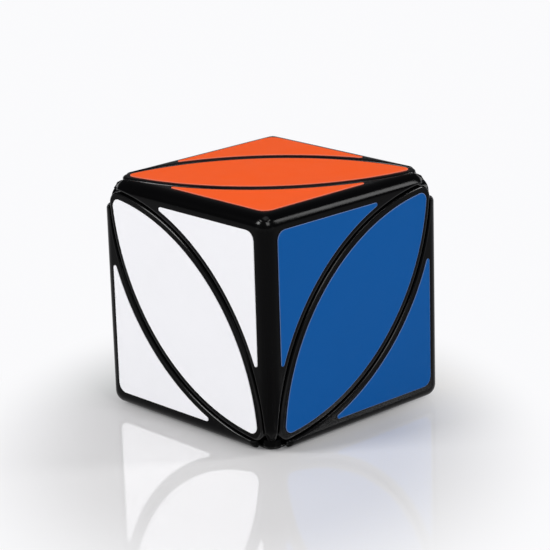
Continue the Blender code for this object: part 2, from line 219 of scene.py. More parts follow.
class LeafCubeSizes(bpy.types.PropertyGroup):
    """Sizes of the shells and stickers that a user would change."""

    cut_inset: length("Cut inset", "Centre of each cut, in from the faces beside its corner", 1.0 * MM)
    cut_radius: length("Cut radius", "Radius of the arc that a cut draws on a face", 51.55 * MM)
    cut_gap: length("Cut gap", "Running gap between a corner and a petal", 0.5 * MM)
    edge_radius: length("Edge radius", "Rounding of the cube's edges", 3.0 * MM)
    rim_radius: length("Rim radius", "Rounding of the rims along the cuts", 0.55 * MM)
    under_radius: length("Under radius", "Rounding of a petal's lower rim", 0.25 * MM)
    arm_short: length("Arm shortening", "By how much an arm stops short of its own cut", 4.0 * MM)
    arm_nose: length("Arm nose", "Rounding of an arm's end", 0.8 * MM)
    hoof_end: length("Hoof end", "From the cube's vertex to a long arm's flared end", 2.5 * MM)
    hoof_dip: length("Hoof dip", "By how much its sides lie below the faces", 1.0 * MM)
    hoof_lip: length("Hoof lip", "Thickness of a long arm's end at its sides", 0.45 * MM)
    hoof_skin: length("Hoof skin", "Thickness of a long arm's end at the cube's edge", 0.6 * MM)
    hoof_ball: length("Hoof ball", "Ball about the cube's centre that rounds a long arm's end", 43.4 * MM)
    hoof_soft: length("Hoof softness", "Width of the change from the faces to that ball", 0.3 * MM)
    leaf_tip: length("Leaf tip", "Rounding of a petal's tips", 2.8 * MM)
    inner_ball: length("Inner ball", "Radius of the hollow under the shells", 23.4 * MM)
    sticker_edge: length("Sticker edge", "From the cube's edge to a corner sticker", 3.6 * MM)
    sticker_rim: length("Sticker rim", "From the middle of a cut to a sticker", 1.72 * MM)
    sticker_tip: length("Sticker tip", "Rounding of a petal sticker's tips", 1.8 * MM)
    sticker_heel: length("Sticker heel", "Rounding of a corner sticker at the cube's corner", 2.2 * MM)
    sticker_horn: length("Sticker horn", "Rounding of a corner sticker's two horns", 0.5 * MM)
    # Width of the band of painted highlight along a sticker's cut edge
    sticker_cut: length("Sticker cut", "Width of a sticker's pale cut edge", 0.10 * MM)
    columns: IntProperty(name="Columns", description="Grid columns along a rim", default=64, min=8)


class LeafCubeColours(bpy.types.PropertyGroup):
    """Colours of the plastic, the vinyl and the studio."""

    plastic: colour("Plastic", "Black shells", (0.0013, 0.0013, 0.0015))
    inner: colour("Inner plastic", "Feet and spindles", (0.012, 0.012, 0.013))
    core: colour("Core", "Core in the middle", (0.70, 0.70, 0.68))
    steel: colour("Steel", "Screws, washers and springs", (0.62, 0.61, 0.58))
    top: colour("Top", "Orange vinyl", (0.86, 0.098, 0.012))
    front: colour("Front", "White vinyl", (0.88, 0.88, 0.91))
    right: colour("Right", "Blue vinyl", (0.0030, 0.084, 0.308))
    back: colour("Back", "Yellow vinyl", (0.85, 0.60, 0.012))
    left: colour("Left", "Green vinyl", (0.010, 0.260, 0.055))
    bottom: colour("Bottom", "Red vinyl", (0.52, 0.010, 0.014))
    floor: colour("Floor", "Pale glossy floor", (0.775, 0.765, 0.77))
    backdrop: colour("Backdrop", "White behind the cube", (0.96, 0.96, 0.975))
    air: colour("Air", "Light from all round", (0.95, 0.97, 1.0))


class LeafCubeStage(bpy.types.PropertyGroup):
    """The photograph's camera, the shaded pool of floor round the cube, and the light all round."""

    azimuth: angle_of("Azimuth", "Camera's turn from the front", 0.8179)
    elevation: angle_of("Elevation", "Camera's height angle", 0.3044)
    roll: angle_of("Roll", "Camera's lean", -0.0304)
    distance: length("Distance", "From the camera to the cube's centre", 0.5493)
    focal: pixels("Focal length", "Focal length in pixels of the photograph", 2361.6)
    off_right: pixels("Off right", "Cube's centre to the right of the middle", -2.69)
    off_down: pixels("Off down", "Cube's centre below the middle", 11.89)
    pool_right: length("Pool right", "Middle of the pool, to the right of the cube", -0.005)
    pool_near: length("Pool near", "Middle of the pool, from the cube to the camera", 0.03)
    pool_start: length("Pool start", "Radius at which the floor begins to turn white", 0.042)
    pool_end: length("Pool end", "Radius at which the floor is white", 0.102)
    pool_width: FloatProperty(name="Pool width", description="Pool's width against its depth", default=0.69)
    pool_white: FloatProperty(
        name="Pool white", description="Share of white inside the pool", default=0.10, subtype="FACTOR",
    )
    air_light: FloatProperty(name="Air light", description="Strength of the light all round", default=0.12)


def sizes():
    """The scene's sizes."""
    return bpy.context.scene.leaf_cube_sizes


def colours():
    """The scene's colours."""
    return bpy.context.scene.leaf_cube_colours


def stage():
    """The scene's camera, pool and light."""
    return bpy.context.scene.leaf_cube_stage


def cut_ball():
    """Radius of the balls that cut the cube: root of the squares of their arc on a face and its inset."""
    s = sizes()
    return math.hypot(s.cut_radius, s.cut_inset)


# Surfaces


def round_cube(points):
    """Rounds the cube's edges: what lies beyond an inner box is drawn in to its largest coordinate."""
    core = HALF - sizes().edge_radius
    inner = np.clip(points, -core, core)
    beyond = points - inner
    reach = np.linalg.norm(beyond, axis=-1, keepdims=True)
    largest = np.abs(beyond).max(axis=-1, keepdims=True)
    return inner + beyond * np.divide(largest, reach, out=np.ones_like(reach), where=reach > 0)


def quarter_round():
    """Sine and cosine round a quarter circle."""
    angle = np.linspace(0, math.pi / 2, ROUND_ROWS)
    return np.sin(angle), np.cos(angle)


def steps(count):
    """Even shares up to 1, without the 0 that the row before them stands for."""
    return np.linspace(0, 1, count + 1)[1:]


def lifted(plan, height):
    """Points of a plan at one height, or each at its own."""
    return np.concatenate([plan, np.broadcast_to(height, plan.shape[:-1])[..., None]], axis=-1)


def row_marks(values, parts):
    """One mark for each row of stacked grids, the same through each of them."""
    return np.repeat(values, [len(part) for part in parts])[:, None]


def first_root(function, low, high, rounds=60):
    """Halves the interval, column by column, until the function's change of sign is found."""
    low, high = low.copy(), high.copy()
    for _ in range(rounds):
        middle = (low + high) / 2
        above = function(middle) > 0
        low = np.where(above, middle, low)
        high = np.where(above, high, middle)
    return (low + high) / 2


def tip_along(radius, tip):
    """How far along u and v the circle of a leaf's tip has its centre, when it touches both arcs inside."""
    reach = HALF - sizes().cut_inset
    return math.sqrt((radius - tip) ** 2 / 2 - reach**2)


def corner_patch(hoof):
    """One sixth of a corner shell, for the corner at (+, +, +), and its marks of polish.

    Columns run along the cut on the face +w, as the angle about the far corner's cut centre, from the
    end of the arm beside the edge u to the face's diagonal. Rows run from the cube's edge across the
    face, round the rim, down the ball-shaped wall, and along the inner ball to the plane u = w, where
    the next sixth takes over. A hoof adds columns round the tip of the petal. The marks are on what
    handling polishes: the rim's rows, and the vertex, where the least of a point's coordinates nears
    the cube's half side.
    """
    s = sizes()
    reach = HALF - s.cut_inset
    ball = cut_ball() + s.cut_gap / 2
    across = HALF + reach
    petal_rim = math.sqrt((cut_ball() - s.cut_gap / 2) ** 2 - s.cut_inset**2)
    tip = tip_along(petal_rim, s.leaf_tip)
    leaves_arc = math.atan2(reach - tip, reach + tip)
    if hoof:
        arm_end = s.hoof_end - HALF
        start = leaves_arc
    else:
        arm_end = reach - cut_ball() + s.cut_gap / 2 + s.arm_short + s.arm_nose
        start = math.atan2(arm_end + reach, across)
    angle = np.linspace(start, math.pi / 4, s.columns)
    cos, sin = np.cos(angle), np.sin(angle)

    def about_cut(radius, depth):
        spots = np.broadcast_arrays(radius * cos - reach, radius * sin - reach, HALF - depth)
        return np.stack(spots, axis=-1)

    def on_wall(depth):
        return about_cut(np.sqrt(ball**2 - (depth - s.cut_inset) ** 2), depth)

    def over_mitre(depth):
        spots = on_wall(depth)
        return spots[..., 2] - spots[..., 0]

    def over_ball(depth):
        return np.linalg.norm(on_wall(depth), axis=-1) - s.inner_ball

    mitre = first_root(over_mitre, np.zeros_like(angle), np.full_like(angle, HALF))
    reaches_ball = over_ball(mitre) < 0
    wall_depth = np.where(reaches_ball, first_root(over_ball, np.zeros_like(angle), mitre), mitre)

    rim = np.sqrt(ball**2 - s.cut_inset**2)
    begin = rim + s.rim_radius
    flat = 1 - np.linspace(0, 1, CORNER_FACE_ROWS) ** FACE_CROWDING
    face = about_cut(begin + (across / cos - begin) * flat[:, None], 0.0)
    up, out = quarter_round()
    fillet = about_cut(begin - s.rim_radius * up[1:, None], s.rim_radius * (1 - out[1:, None]))
    drop = steps(CORNER_WALL_ROWS)[:, None]
    wall = on_wall(s.rim_radius + (wall_depth - s.rim_radius) * drop)

    parts = [face, fillet, wall, hollow_rows(wall[-1], angle, reaches_ball)]
    patch = np.concatenate(parts)
    if hoof:
        flare = hoof_columns(patch[:, 0], tip, leaves_arc, arm_end, flat, drop)
        patch = np.concatenate([flare, patch], axis=1)
    depth = HALF - patch[..., 2]
    patch = round_cube(patch)
    if hoof:
        patch = clear_of_petals(inside_ball(patch, depth), tip)
    nose = rounded_end(patch[:, 0], s.hoof_lip if hoof else s.arm_nose)
    patch = np.concatenate([nose, patch], axis=1)
    vertex = np.clip(VERTEX_POLISH * (1 - (HALF - patch.min(axis=-1)) / s.edge_radius), 0, 1)
    return patch, np.maximum(row_marks([0, 1, 0, 0], parts), vertex)


def hollow_rows(foot, angle, reaches_ball):
    """Rows from the foot of a corner's wall along the inner ball to the plane u = w.

    The last row starts where the foot's u and w meet halfway, and moves with the angle to the ball's
    point on the corner's axis. Columns whose wall ends at the plane stay at their foot.
    """
    radius = sizes().inner_ball
    fold = foot.copy()
    fold[:, [0, 2]] = foot[:, [0, 2]].mean(axis=1, keepdims=True)
    first = angle[reaches_ball].min()
    share = np.clip((angle - first) / (angle[-1] - first), 0, 1)
    apex = np.full(3, radius / math.sqrt(3))
    last = fold + (apex - fold) * share[:, None]
    last *= np.where(reaches_ball, radius / np.linalg.norm(last, axis=1), 1)[:, None]
    last = np.where(reaches_ball[:, None], last, foot)
    rows = foot + (last - foot) * steps(CORNER_INNER_ROWS)[:, None, None]
    return rows * np.where(reaches_ball, radius / np.linalg.norm(rows, axis=-1), 1)[..., None]


def rounded_end(section, size):
    """An arm's end: its last section, moved on and drawn in round a quarter circle, then closed."""
    middle = (section[0] + section[-1]) / 2
    forward, inward = quarter_round()
    soft = min(size / np.linalg.norm(section[0] - middle), NOSE_LIMIT)
    shrink = np.concatenate([[0], 1 - soft * (1 - inward[:0:-1])])
    forward = np.concatenate([[1], forward[:0:-1]])
    nose = middle + (section[:, None] - middle) * shrink[:, None]
    nose[..., 1] -= size * forward
    return nose


def inside_ball(patch, depth):
    """Draws the end of a long arm in to a ball about the cube's centre, less each point's own depth.

    The distance from the centre becomes a soft minimum of itself and the ball's radius.
    """
    s = sizes()
    far = np.linalg.norm(patch, axis=-1)
    over = (far - s.hoof_ball + depth) / s.hoof_soft
    drawn = far - s.hoof_soft * np.logaddexp(0, over)
    return patch * np.where(patch[..., 1] < 0, drawn / far, 1)[..., None]


def clear_of_petals(patch, tip):
    """Moves points out to where the far corner's petals pass when that corner turns.

    Its axis is the diagonal (-, -, +). At each height along it, the least radius is that of the cut
    ball, or further out that of the petals' round tips, grown by the gap.
    """
    s = sizes()
    axis = np.array([-1, -1, 1]) / math.sqrt(3)

    def about_axis(points):
        height = points @ axis
        off = points - height[..., None] * axis
        return height, off, np.linalg.norm(off, axis=-1)

    around = np.linspace(*TIP_STRETCH, TIP_POINTS)
    size = s.leaf_tip + s.cut_gap
    spots = [tip + size * np.cos(around), -tip - size * np.sin(around), np.full_like(around, HALF)]
    tip_height, _, tip_radius = about_axis(np.stack(spots, axis=-1))
    height, off, radius = about_axis(patch)
    ball = cut_ball() + s.cut_gap / 2
    inside = ball**2 - (height - math.sqrt(3) * (HALF - s.cut_inset)) ** 2
    beside_tip = np.interp(height, tip_height, tip_radius, left=2 * HALF)
    least = np.minimum(np.sqrt(np.maximum(inside, 0)), beside_tip)
    near = patch[..., 1] < -HALF / 2
    return patch + off * np.where(near, np.maximum(least / radius - 1, 0), 0)[..., None]


def hoof_columns(section, tip, leaves_arc, arm_end, flat, drop):
    """The flared end of a long arm: columns round the petal's tip, where the arm leaves the cut.

    Each column starts on the cube's edge, runs across the face to a circle about the tip's centre,
    and goes back under a thin lip to the plane u = w. Towards the end the face dips by the square
    of the share of the way.
    """
    s = sizes()
    share = np.linspace(1, 0, s.columns // 2)[:-1]
    around = -leaves_arc + (HOOF_SWEEP + leaves_arc) * share
    size = s.leaf_tip + s.cut_gap
    rim = np.stack([tip + size * np.cos(around), -tip - size * np.sin(around)], axis=-1)
    to_tip = np.stack([-np.cos(around), np.sin(around)], axis=-1)
    along = section[0, 1] + (arm_end - section[0, 1]) * share
    edge = np.stack([np.full_like(share, HALF), along], axis=-1)
    lip = s.rim_radius + (s.hoof_lip - s.rim_radius) * share
    dip = s.hoof_dip * share**2
    inside = rim - to_tip * lip[:, None]
    plan = inside + (edge - inside) * flat[:, None, None]
    face = lifted(plan, HALF - dip * (1 - flat[:, None]) ** 2)
    up, out = quarter_round()
    plan = inside + to_tip * lip[:, None] * up[1:, None, None]
    fillet = lifted(plan, HALF - dip - lip * (1 - out[1:, None]))
    end = np.array([HALF - s.hoof_skin, arm_end, HALF - s.hoof_skin])
    mitre = section[-1] + (end - section[-1]) * share[:, None]
    wall = fillet[-1] + (mitre - fillet[-1]) * drop[..., None]
    hollow = np.broadcast_to(mitre, (CORNER_INNER_ROWS,) + mitre.shape)
    return np.concatenate([face, fillet, wall, hollow])


def leaf_outline(radius, tip, inset):
    """A quarter of a leaf's rim, moved inwards: half of one arc, then half of the rounded tip.

    The arc is drawn about a corner's cut centre. The tip's circle touches both arcs from inside, so
    its centre lies on the diagonal at the arc's radius less its own from that cut centre.
    """
    s = sizes()
    reach = HALF - s.cut_inset
    along = tip_along(radius, tip)
    turn = math.atan2(along - reach, along + reach)
    arc = np.linspace(-math.pi / 4, turn, s.columns)
    nose = np.linspace(turn, math.pi / 4, s.columns // 4)[1:]

    def circle(x, y, size, angle):
        return np.stack([x + size * np.cos(angle), y + size * np.sin(angle)], axis=-1)

    first = circle(-reach, reach, radius - inset, arc)
    second = circle(along, along, tip - inset, nose)
    return np.concatenate([first, second])


def to_spine(rim, shares):
    """Rows from a rim to the leaf's long diagonal, by the shares given."""
    spine = np.repeat(rim.mean(axis=-1, keepdims=True), 2, axis=-1)
    return rim + (spine - rim) * shares[:, None, None]


def petal_under(plan):
    """Height of a petal's underside: the highest of the inner ball and the two lower corners' cuts."""
    s = sizes()
    reach = HALF - s.cut_inset
    ball = cut_ball() + s.cut_gap / 2

    def dome(x, y, z, radius):
        square = radius**2 - (plan[..., 0] - x) ** 2 - (plan[..., 1] - y) ** 2
        return np.where(square > 0, z + np.sqrt(np.maximum(square, 0)), -HALF)

    lower = (dome(sign * reach, sign * reach, -reach, ball) for sign in (1, -1))
    return np.maximum(dome(0, 0, 0, s.inner_ball), np.maximum(*lower))


def petal_patch():
    """A quarter of the top petal, and its marks of polish, which are on the rim's rows.

    Rows run from the spine over the rim, down the wall and back underneath. The wall leans in along
    the cut ball: at each height by the arc on the face less the ball's circle there.
    """
    s = sizes()
    ball = cut_ball() - s.cut_gap / 2
    rim = math.sqrt(ball**2 - s.cut_inset**2)
    line = leaf_outline(rim, s.leaf_tip, 0.0)
    outward = line - leaf_outline(rim, s.leaf_tip, 1.0)

    def ring(inset, height):
        return lifted(line - inset[..., None] * outward, height)

    def lean(height):
        return rim - np.sqrt(ball**2 - (HALF - height - s.cut_inset) ** 2)

    flat = to_spine(leaf_outline(rim, s.leaf_tip, s.rim_radius), np.linspace(1, 0, PETAL_TOP_ROWS))
    up, out = quarter_round()
    begin = HALF - s.rim_radius
    inset = lean(begin) + s.rim_radius * (1 - up[1:, None])
    fillet = ring(inset, (HALF - s.rim_radius * (1 - out[1:]))[:, None])

    bottom = np.full(len(line), begin)
    for _ in range(UNDER_ROUNDS):
        shallow = line - (lean(bottom) + s.under_radius)[:, None] * outward
        bottom = np.minimum(petal_under(shallow) + s.under_radius, begin)
    height = begin + (bottom - begin) * steps(PETAL_WALL_ROWS)[:, None]
    wall = ring(lean(height), height)
    inset = lean(bottom) + s.under_radius * (1 - out[1:, None])
    lower = ring(inset, bottom - s.under_radius * up[1:, None])
    plan = to_spine(shallow, steps(PETAL_UNDER_ROWS))
    parts = [lifted(flat, HALF), fillet, wall, lower, lifted(plan, petal_under(plan))]
    return round_cube(np.concatenate(parts)), row_marks([0, 1, 0, 0, 0], parts)


def petal_sticker_patch():
    """A quarter of a petal's sticker: a thin leaf, spine to rim on top and rim to spine beneath.

    The second value marks the rows of the cut edge that carry a painted highlight.
    """
    s = sizes()
    radius = s.cut_radius - s.sticker_rim
    rim = leaf_outline(radius, s.sticker_tip, 0.0)
    near = leaf_outline(radius, s.sticker_tip, s.sticker_cut)
    inside = leaf_outline(radius, s.sticker_tip, STICKER_FLAT * s.sticker_cut)
    soft = STICKER_SOFT * (STICKER_HIGH - STICKER_LOW)
    parts = [
        lifted(to_spine(inside, np.linspace(1, 0, STICKER_TOP_ROWS)), STICKER_HIGH),
        lifted(near[None], STICKER_HIGH),
        lifted(rim[None], STICKER_HIGH - soft),
        lifted(rim[None], STICKER_LOW),
        lifted(to_spine(rim, steps(STICKER_UNDER_ROWS)), STICKER_LOW),
    ]
    return np.concatenate(parts), row_marks([0, 1, 1, 1, 0], parts)


def corner_sticker_grid():
    """A corner's sticker on the face +w, for the corner at (+, +, +).

    Columns are angles about the far corner's cut centre. Each column runs from the hollow arc to the
    straight side. The heel is a circle in both sides, and each horn a circle between side and arc.
    The second value marks the rows of the cut edge that carry a painted highlight.
    """
    s = sizes()
    reach = HALF - s.cut_inset
    arc = s.cut_radius + s.sticker_rim
    side = HALF + reach - s.sticker_edge
    horn_x = side - s.sticker_horn
    horn_y = math.sqrt((arc + s.sticker_horn) ** 2 - horn_x**2)
    meets_arc = math.atan2(horn_y, horn_x)
    start = meets_arc - math.asin(s.sticker_horn / math.hypot(horn_x, horn_y))
    share = 1 - np.cos(np.linspace(0, math.pi / 2, s.columns))
    half = start + (math.pi / 4 - start) * share
    cos, sin = np.cos(half), np.sin(half)

    middle = horn_x * cos + horn_y * sin
    off = horn_x * sin - horn_y * cos
    swing = np.sqrt(np.maximum(s.sticker_horn**2 - off**2, 0))
    inner = np.where(half < meets_arc, middle - swing, arc)
    meets_side = math.atan2(horn_y, side)
    outer = np.where(half < meets_side, middle + swing, side / cos)
    heel = side - s.sticker_heel
    square = s.sticker_heel**2 - (heel * (cos - sin)) ** 2
    curve = heel * (cos + sin) + np.sqrt(np.maximum(square, 0))
    outer = np.where(half > math.atan2(heel, side), np.minimum(curve, outer), outer)

    angle = np.concatenate([half, math.pi / 2 - half[-2::-1]])
    inner = np.concatenate([inner, inner[-2::-1]])
    outer = np.concatenate([outer, outer[-2::-1]])
    width = outer - inner
    near = np.minimum(s.sticker_cut, HORN_CUT_HIGHLIGHT * width)
    inside = np.minimum(STICKER_FLAT * s.sticker_cut, HORN_FLAT * width)
    top = inner + inside + (width - 2 * inside) * np.linspace(0, 1, STICKER_TOP_ROWS)[:, None]
    high, low = STICKER_HIGH, STICKER_LOW
    soft = high - STICKER_SOFT * (high - low)
    rising, falling = [low, soft, high], [high, soft, low, low]
    level = np.concatenate([rising, np.full(STICKER_TOP_ROWS, high), falling])
    radius = np.vstack([inner, inner, inner + near, top, outer - near, outer, outer, inner])
    plan = np.stack([radius * np.cos(angle) - reach, radius * np.sin(angle) - reach], axis=-1)
    return lifted(plan, level[:, None]), row_marks([1, 0, 1], [rising, top, falling])


def leaf_quarters(patch):
    """The four images of a leaf's quarter: swapped across one diagonal, the other, and both."""
    swap = patch[..., [1, 0, 2]]
    back = np.array([-1, -1, 1])
    return [patch, swap, swap * back, patch * back]


# Meshes


def grid_quads(rows, columns, start=0):
    """Quads between a grid's neighbours, by the numbers of its points."""
    index = start + np.arange(rows * columns).reshape(rows, columns)
    return np.stack([index[:-1, :-1], index[:-1, 1:], index[1:, 1:], index[1:, :-1]], -1).reshape(-1, 4)


def joined(name, patches, marks):
    """Grids of points, as one closed mesh: quads from neighbours, welded where the patches meet.

    Marks, one for each row or point of a grid, become the mesh's rim marks.
    """
    points, quads, start = [], [], 0
    for patch in patches:
        rows, columns = patch.shape[:2]
        quads.append(grid_quads(rows, columns, start))
        points.append(patch.reshape(-1, 3))
        start += rows * columns
    mesh = bpy.data.meshes.new(name)
    mesh.from_pydata(np.concatenate(points) + CENTRE, [], np.concatenate(quads).tolist())
    values = np.concatenate([np.broadcast_to(marks, patch.shape[:2]).ravel() for patch in patches])
    layer = mesh.attributes.new(RIM_MARK, "FLOAT", "POINT")
    layer.data.foreach_set("value", values.astype(np.float32))
    tidy = bmesh.new()
    tidy.from_mesh(mesh)
    bmesh.ops.remove_doubles(tidy, verts=tidy.verts, dist=WELD)
    bmesh.ops.dissolve_degenerate(tidy, dist=WELD / 4, edges=tidy.edges)
    bmesh.ops.recalc_face_normals(tidy, faces=tidy.faces)
    tidy.to_mesh(mesh)
    tidy.free()
    mesh.shade_smooth()
    mesh.set_sharp_from_angle(angle=SHARP_ANGLE)
    return mesh


def piece(body, node, patches, marks, material):
    """A finished piece that stands for one CAD node and rides its body."""
    name = f"{node}_fine"
    obj = bpy.data.objects.new(name, joined(name, patches, marks))
    bpy.context.scene.collection.objects.link(obj)
    obj.data.materials.append(material)
    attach(obj, body)
    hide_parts(node)


# Finishes


def mottle_group():
    """Slow and fine noise over a surface, and a roughness that follows the slow one, made once."""
    found = bpy.data.node_groups.get("surface_mottle")
    if found:
        return found
    group = bpy.data.node_groups.new("surface_mottle", "ShaderNodeTree")
    defaults = {"Slow scale": 60.0, "Fine scale": 2200.0, "Low": 0.1, "High": 0.2}
    for name, value in defaults.items():
        made = group.interface.new_socket(name=name, in_out="INPUT", socket_type="NodeSocketFloat")
        made.default_value = value
    for name in ("Roughness", "Slow", "Fine"):
        group.interface.new_socket(name=name, in_out="OUTPUT", socket_type="NodeSocketFloat")
    nodes, links = group.nodes, group.links
    entry = nodes.new("NodeGroupInput")
    leave = nodes.new("NodeGroupOutput")
    place = nodes.new("ShaderNodeTexCoord")
    slow = nodes.new("ShaderNodeTexNoise")
    fine = nodes.new("ShaderNodeTexNoise")
    spread = nodes.new("ShaderNodeMapRange")
    slow.inputs["Detail"].default_value = 4.0
    fine.inputs["Detail"].default_value = 2.0
    spread.inputs["From Min"].default_value = 0.3
    spread.inputs["From Max"].default_value = 0.7
    links.new(place.outputs["Object"], slow.inputs["Vector"])
    links.new(place.outputs["Object"], fine.inputs["Vector"])
    links.new(entry.outputs["Slow scale"], slow.inputs["Scale"])
    links.new(entry.outputs["Fine scale"], fine.inputs["Scale"])
    links.new(slow.outputs["Fac"], spread.inputs["Value"])
    links.new(entry.outputs["Low"], spread.inputs["To Min"])
    links.new(entry.outputs["High"], spread.inputs["To Max"])
    links.new(spread.outputs["Result"], leave.inputs["Roughness"])
    links.new(slow.outputs["Fac"], leave.inputs["Slow"])
    links.new(fine.outputs["Fac"], leave.inputs["Fine"])
    return group


def finish_of(name, tint, rough, bump, vary, specular=0.5, slow=60.0):
    """A moulded, printed or plated finish: a slightly mottled colour, uneven gloss and a fine grain."""
    made = bpy.data.materials.new(name)
    made.use_nodes = True
    nodes, links = made.node_tree.nodes, made.node_tree.links
    shader = nodes["Principled BSDF"]
    mottle = nodes.new("ShaderNodeGroup")
    mottle.node_tree = mottle_group()
    mottle.inputs["Slow scale"].default_value = slow
    mottle.inputs["Low"].default_value, mottle.inputs["High"].default_value = rough
    ramp = nodes.new("ShaderNodeValToRGB")
    ramp.name = "tint"
    for element, part in zip(ramp.color_ramp.elements, (1 - vary, 1 + vary)):
        element.color = (*(min(1.0, part * value) for value in tint), 1.0)
    grain = nodes.new("ShaderNodeBump")
    grain.inputs["Strength"].default_value = bump
    grain.inputs["Distance"].default_value = GRAIN_HEIGHT
    links.new(mottle.outputs["Slow"], ramp.inputs["Fac"])
    links.new(ramp.outputs["Color"], shader.inputs["Base Color"])
    links.new(mottle.outputs["Roughness"], shader.inputs["Roughness"])
    links.new(mottle.outputs["Fine"], grain.inputs["Height"])
    links.new(grain.outputs["Normal"], shader.inputs["Normal"])
    shader.inputs["Specular IOR Level"].default_value = specular
    return made


def marked(nodes):
    """The output that reads a mesh's rim marks."""
    mark = nodes.new("ShaderNodeAttribute")
    mark.attribute_name = RIM_MARK
    return mark.outputs["Fac"]


def vinyl(face):
    """Satin coloured vinyl with a painted highlight on its cut edge, made once for each face."""
    name = f"vinyl_{face}_satin"
    found = bpy.data.materials.get(name)
    if found:
        return found
    tint = getattr(colours(), face)
    made = finish_of(name, tint, rough=(0.34, 0.44), bump=0.10, vary=0.025, specular=0.05)
    nodes, links = made.node_tree.nodes, made.node_tree.links
    # Painted highlight: the marked cut-edge rows mix the tint towards pale grey
    pale = (value + CUT_EDGE_HIGHLIGHT_SHARE * (CUT_EDGE_HIGHLIGHT_GREY - value) for value in tint)
    edge = nodes.new("ShaderNodeMix")
    edge.data_type = "RGBA"
    edge.inputs["B"].default_value = (*pale, 1.0)
    links.new(marked(nodes), edge.inputs["Factor"])
    links.new(nodes["tint"].outputs["Color"], edge.inputs["A"])
    links.new(edge.outputs["Result"], nodes["Principled BSDF"].inputs["Base Color"])
    return made


def gloss_black():
    """Black moulded plastic with a gloss on the rims and vertices that handling polishes, made once."""
    name = "gloss_black_shell"
    found = bpy.data.materials.get(name)
    if found:
        return found
    made = finish_of(name, colours().plastic, rough=(0.14, 0.21), bump=0.05, vary=0.15, specular=0.05)
    nodes, links = made.node_tree.nodes, made.node_tree.links
    shader = nodes["Principled BSDF"]
    shader.inputs["Coat Roughness"].default_value = 0.16
    polish = nodes.new("ShaderNodeMapRange")
    polish.inputs["To Max"].default_value = 0.28
    links.new(marked(nodes), polish.inputs["Value"])
    links.new(polish.outputs["Result"], shader.inputs["Coat Weight"])
    return made


def pool_white(nodes, links):
    """The floor's share of white, as an output.

    It rises smoothly with the distance from the middle of an ellipse, which is narrower across the
    camera's view than along it.
    """
    studio = stage()
    middle = Vector((studio.pool_right, -studio.pool_near, 0.0))
    place = nodes.new("ShaderNodeTexCoord")
    ellipse = nodes.new("ShaderNodeMapping")
    ellipse.vector_type = "TEXTURE"
    ellipse.inputs["Location"].default_value = Matrix.Rotation(studio.azimuth, 3, "Z") @ middle
    ellipse.inputs["Rotation"].default_value = (0.0, 0.0, studio.azimuth)
    ellipse.inputs["Scale"].default_value = (studio.pool_width, 1.0, 1.0)
    far = nodes.new("ShaderNodeVectorMath")
    far.operation = "LENGTH"
    fade = nodes.new("ShaderNodeMapRange")
    fade.interpolation_type = "SMOOTHSTEP"
    fade.inputs["From Min"].default_value = studio.pool_start
    fade.inputs["From Max"].default_value = studio.pool_end
    fade.inputs["To Min"].default_value = studio.pool_white
    links.new(place.outputs["Object"], ellipse.inputs["Vector"])
    links.new(ellipse.outputs["Vector"], far.inputs[0])
    links.new(far.outputs["Value"], fade.inputs["Value"])
    return fade.outputs["Result"]


def pale_floor():
    """Glossy pale acrylic, which turns to plain white away from the cube for what looks straight at it."""
    made = finish_of("pale_acrylic", colours().floor, rough=(0.05, 0.08), bump=0.0, vary=0.004, slow=6.0)
    nodes, links = made.node_tree.nodes, made.node_tree.links
    shader = nodes["Principled BSDF"]
    shader.inputs["Coat Weight"].default_value = 1.0
    shader.inputs["Coat Roughness"].default_value = 0.05
    shader.inputs["Coat IOR"].default_value = 1.62

    def combined(operation, first, second):
        node = nodes.new("ShaderNodeMath")
        node.operation = operation
        links.new(first, node.inputs[0])
        links.new(second, node.inputs[1])
        return node.outputs["Value"]

    path = nodes.new("ShaderNodeLightPath")
    seen = combined("MAXIMUM", path.outputs["Is Camera Ray"], path.outputs["Is Glossy Ray"])
    seen = combined("MAXIMUM", seen, path.outputs["Is Transmission Ray"])
    white = nodes.new("ShaderNodeEmission")
    white.inputs["Color"].default_value = (*colours().backdrop, 1.0)
    mix = nodes.new("ShaderNodeMixShader")
    links.new(combined("MULTIPLY", pool_white(nodes, links), seen), mix.inputs["Fac"])
    links.new(shader.outputs["BSDF"], mix.inputs[1])
    links.new(white.outputs["Emission"], mix.inputs[2])
    links.new(mix.outputs["Shader"], nodes["Material Output"].inputs["Surface"])
    return made


# Stage


def floor_and_cove():
    """Floor and low cove in one sheet: flat along the camera's view, then up round a quarter circle."""
    angle = np.linspace(0, math.pi / 2, COVE_ROWS)[1:]
    flat = np.linspace(-FLOOR_REACH, FLOOR_REACH, FLOOR_ROWS)
    away = np.concatenate([flat, FLOOR_REACH + COVE_RADIUS * np.sin(angle)])
    rise = np.concatenate([np.zeros(FLOOR_ROWS), COVE_RADIUS * (1 - np.cos(angle))])
    look = np.array([-math.sin(stage().azimuth), math.cos(stage().azimuth)])
    cross = np.array([look[1], -look[0]])
    width = np.linspace(-FLOOR_SIDE, FLOOR_SIDE, FLOOR_COLUMNS)
    plan = away[:, None, None] * look + width[None, :, None] * cross
    points = lifted(plan, float(CAD_BOX[0][2]) + rise[:, None])
    mesh = bpy.data.meshes.new("studio_sweep")
    mesh.from_pydata(points.reshape(-1, 3), [], grid_quads(*points.shape[:2]).tolist())
    mesh.shade_smooth()
    mesh.materials.append(pale_floor())
    obj = bpy.data.objects.new("studio_sweep", mesh)
    bpy.context.scene.collection.objects.link(obj)


def world():
    """Even pale light all round."""
    made = bpy.data.worlds.new("studio_world")
    made.use_nodes = True
    back = made.node_tree.nodes["Background"]
    back.inputs["Color"].default_value = (*colours().air, 1.0)
    back.inputs["Strength"].default_value = stage().air_light
    bpy.context.scene.world = made


